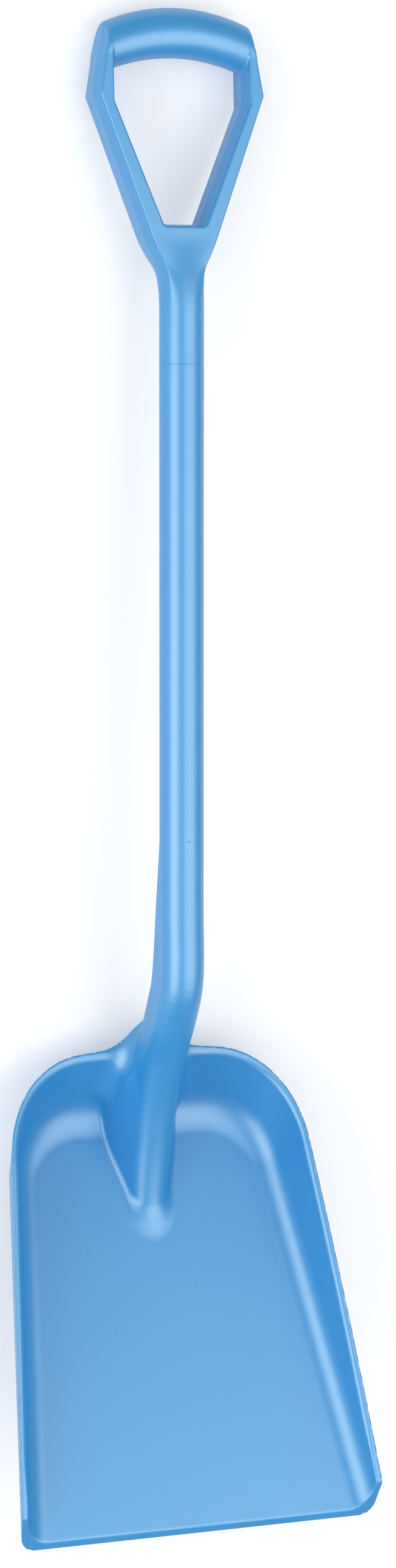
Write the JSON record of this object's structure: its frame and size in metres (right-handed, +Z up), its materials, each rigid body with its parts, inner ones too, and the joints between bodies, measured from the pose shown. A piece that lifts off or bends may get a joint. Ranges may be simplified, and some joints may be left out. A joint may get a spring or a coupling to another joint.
{
  "type": "scoop shovel",
  "caption": "Moulded plastic scoop shovel: a flat-floored blade with raised walls on a bent neck, a round shaft and an arched D-grip, for lifting loose snow or bulk material.",
  "frame": {"origin": "on the ground under the middle of the shovel's box, with the shovel lying on its back", "axes": "+X to the shovel's right seen from the open side of the scoop, +Y along the shovel from the blade's front edge to the grip, +Z up, out of the open scoop"},
  "size_m": [0.2784, 1.0874, 0.1703],
  "materials": {
    "blue_plastic": "satin moulded polypropylene with a fine grain"
  },
  "bodies": {
    "root": {"hand_bar": "blue_plastic", "grip_yoke": "blue_plastic", "shaft_tube": "blue_plastic", "blade": "blue_plastic"}
  },
  "joints": []
}
